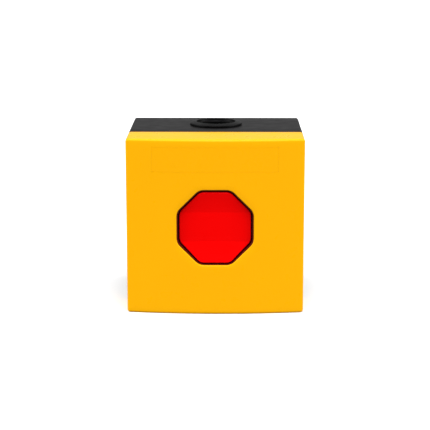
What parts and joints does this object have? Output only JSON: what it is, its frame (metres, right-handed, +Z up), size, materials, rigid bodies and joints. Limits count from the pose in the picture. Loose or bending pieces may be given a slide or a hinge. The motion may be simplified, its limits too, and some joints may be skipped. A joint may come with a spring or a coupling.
{
  "type": "emergency stop button",
  "caption": "Square surface-mounted emergency stop station: flush octagonal red push plate in a crowned yellow cover on a black box, with a cable grommet in the top.",
  "frame": {"origin": "centre of the rear mounting face, on the axis of the push plate", "axes": "+Y into the wall, along the push direction; +Z up; +X to the right of someone facing the button"},
  "size_m": [0.088, 0.0743, 0.0899],
  "materials": {
    "yellow_shell": "fine satin moulded polycarbonate",
    "yellow_label": "satin film, blank",
    "black_shell": "fine satin moulded ABS",
    "black_moulding": "satin",
    "grey_moulding": "satin glass-filled nylon",
    "red_cap": "satin gloss",
    "maroon_moulding": "satin",
    "red_moulding": "satin",
    "white_moulding": "natural acetal",
    "blue_moulding": "satin",
    "black_rubber": "matt",
    "grey_rubber": "matt silicone",
    "zinc_steel": "bright zinc plate",
    "spring_steel": "drawn wire",
    "stainless_steel": "blanked sheet",
    "brass": "turned",
    "contact_copper": "rolled copper alloy with silver-coloured tips"
  },
  "bodies": {
    "enclosure": {"front_cover": "yellow_shell", "legend_label": "yellow_label", "rear_box": "black_shell", "guide_collar": "maroon_moulding", "contact_block_left": "black_moulding", "contact_block_right": "black_moulding", "operator_frame": "grey_moulding", "contact_carrier": "grey_moulding", "cable_grommet": "black_rubber", "reset_seal": "black_rubber", "cover_gasket": "grey_rubber", "sealing_boot": "grey_rubber", "earth_screw": "zinc_steel", "cover_screw_left": "zinc_steel", "cover_screw_right": "zinc_steel", "frame_screw_upper_left": "zinc_steel", "frame_screw_upper_right": "zinc_steel", "frame_screw_lower_left": "zinc_steel", "frame_screw_lower_right": "zinc_steel", "carrier_screw_left": "zinc_steel", "carrier_screw_right": "zinc_steel", "terminal_screw_left_upper": "zinc_steel", "terminal_screw_left_lower": "zinc_steel", "terminal_screw_right_upper": "zinc_steel", "terminal_screw_right_lower": "zinc_steel", "wire_clamp_left_upper": "zinc_steel", "wire_clamp_left_lower": "zinc_steel", "wire_clamp_right_upper": "zinc_steel", "wire_clamp_right_lower": "zinc_steel", "return_spring": "spring_steel", "latch_spring": "spring_steel", "contact_spring_left": "spring_steel", "contact_spring_right": "spring_steel", "earth_terminal": "brass", "screw_insert_left": "brass", "screw_insert_right": "brass", "fixed_contact_left_upper": "contact_copper", "fixed_contact_left_lower": "contact_copper", "fixed_contact_right_upper": "contact_copper", "fixed_contact_right_lower": "contact_copper"},
    "button": {"push_plate": "red_cap", "plunger": "white_moulding", "crossbar": "white_moulding", "tie_screw": "zinc_steel"},
    "latch": {"latch_plate": "stainless_steel"},
    "reset": {"reset_pin": "blue_moulding"},
    "contact_left": {"contact_plunger_left": "red_moulding", "moving_bridge_left": "contact_copper"},
    "contact_right": {"contact_plunger_right": "red_moulding", "moving_bridge_right": "contact_copper"}
  },
  "joints": [
    {"name": "button_press", "type": "slide", "parent": "enclosure", "child": "button", "axis": [0, 1, 0], "range_m": [0, 0.005], "stiffness_N_per_m": 1500, "springref_m": -0.005, "deforming": ["return_spring", "sealing_boot"]},
    {"name": "contact_left_travel", "type": "slide", "parent": "enclosure", "child": "contact_left", "axis": [0, 1, 0], "range_m": [0, 0.005], "deforming": ["contact_spring_left"]},
    {"name": "contact_right_travel", "type": "slide", "parent": "enclosure", "child": "contact_right", "axis": [0, 1, 0], "range_m": [0, 0.005], "deforming": ["contact_spring_right"]},
    {"name": "reset_push", "type": "slide", "parent": "enclosure", "child": "reset", "axis": [0, 0, 1], "range_m": [0, 0.0025], "stiffness_N_per_m": 400, "springref_m": -0.003},
    {"name": "latch_lift", "type": "slide", "parent": "enclosure", "child": "latch", "axis": [0, 0, 1], "range_m": [0, 0.0025], "deforming": ["latch_spring"]}
  ],
  "couplings": [
    {"joint": "contact_left_travel", "follows": "button_press", "ratio": 1},
    {"joint": "contact_right_travel", "follows": "button_press", "ratio": 1},
    {"joint": "latch_lift", "follows": "reset_push", "ratio": 1}
  ]
}
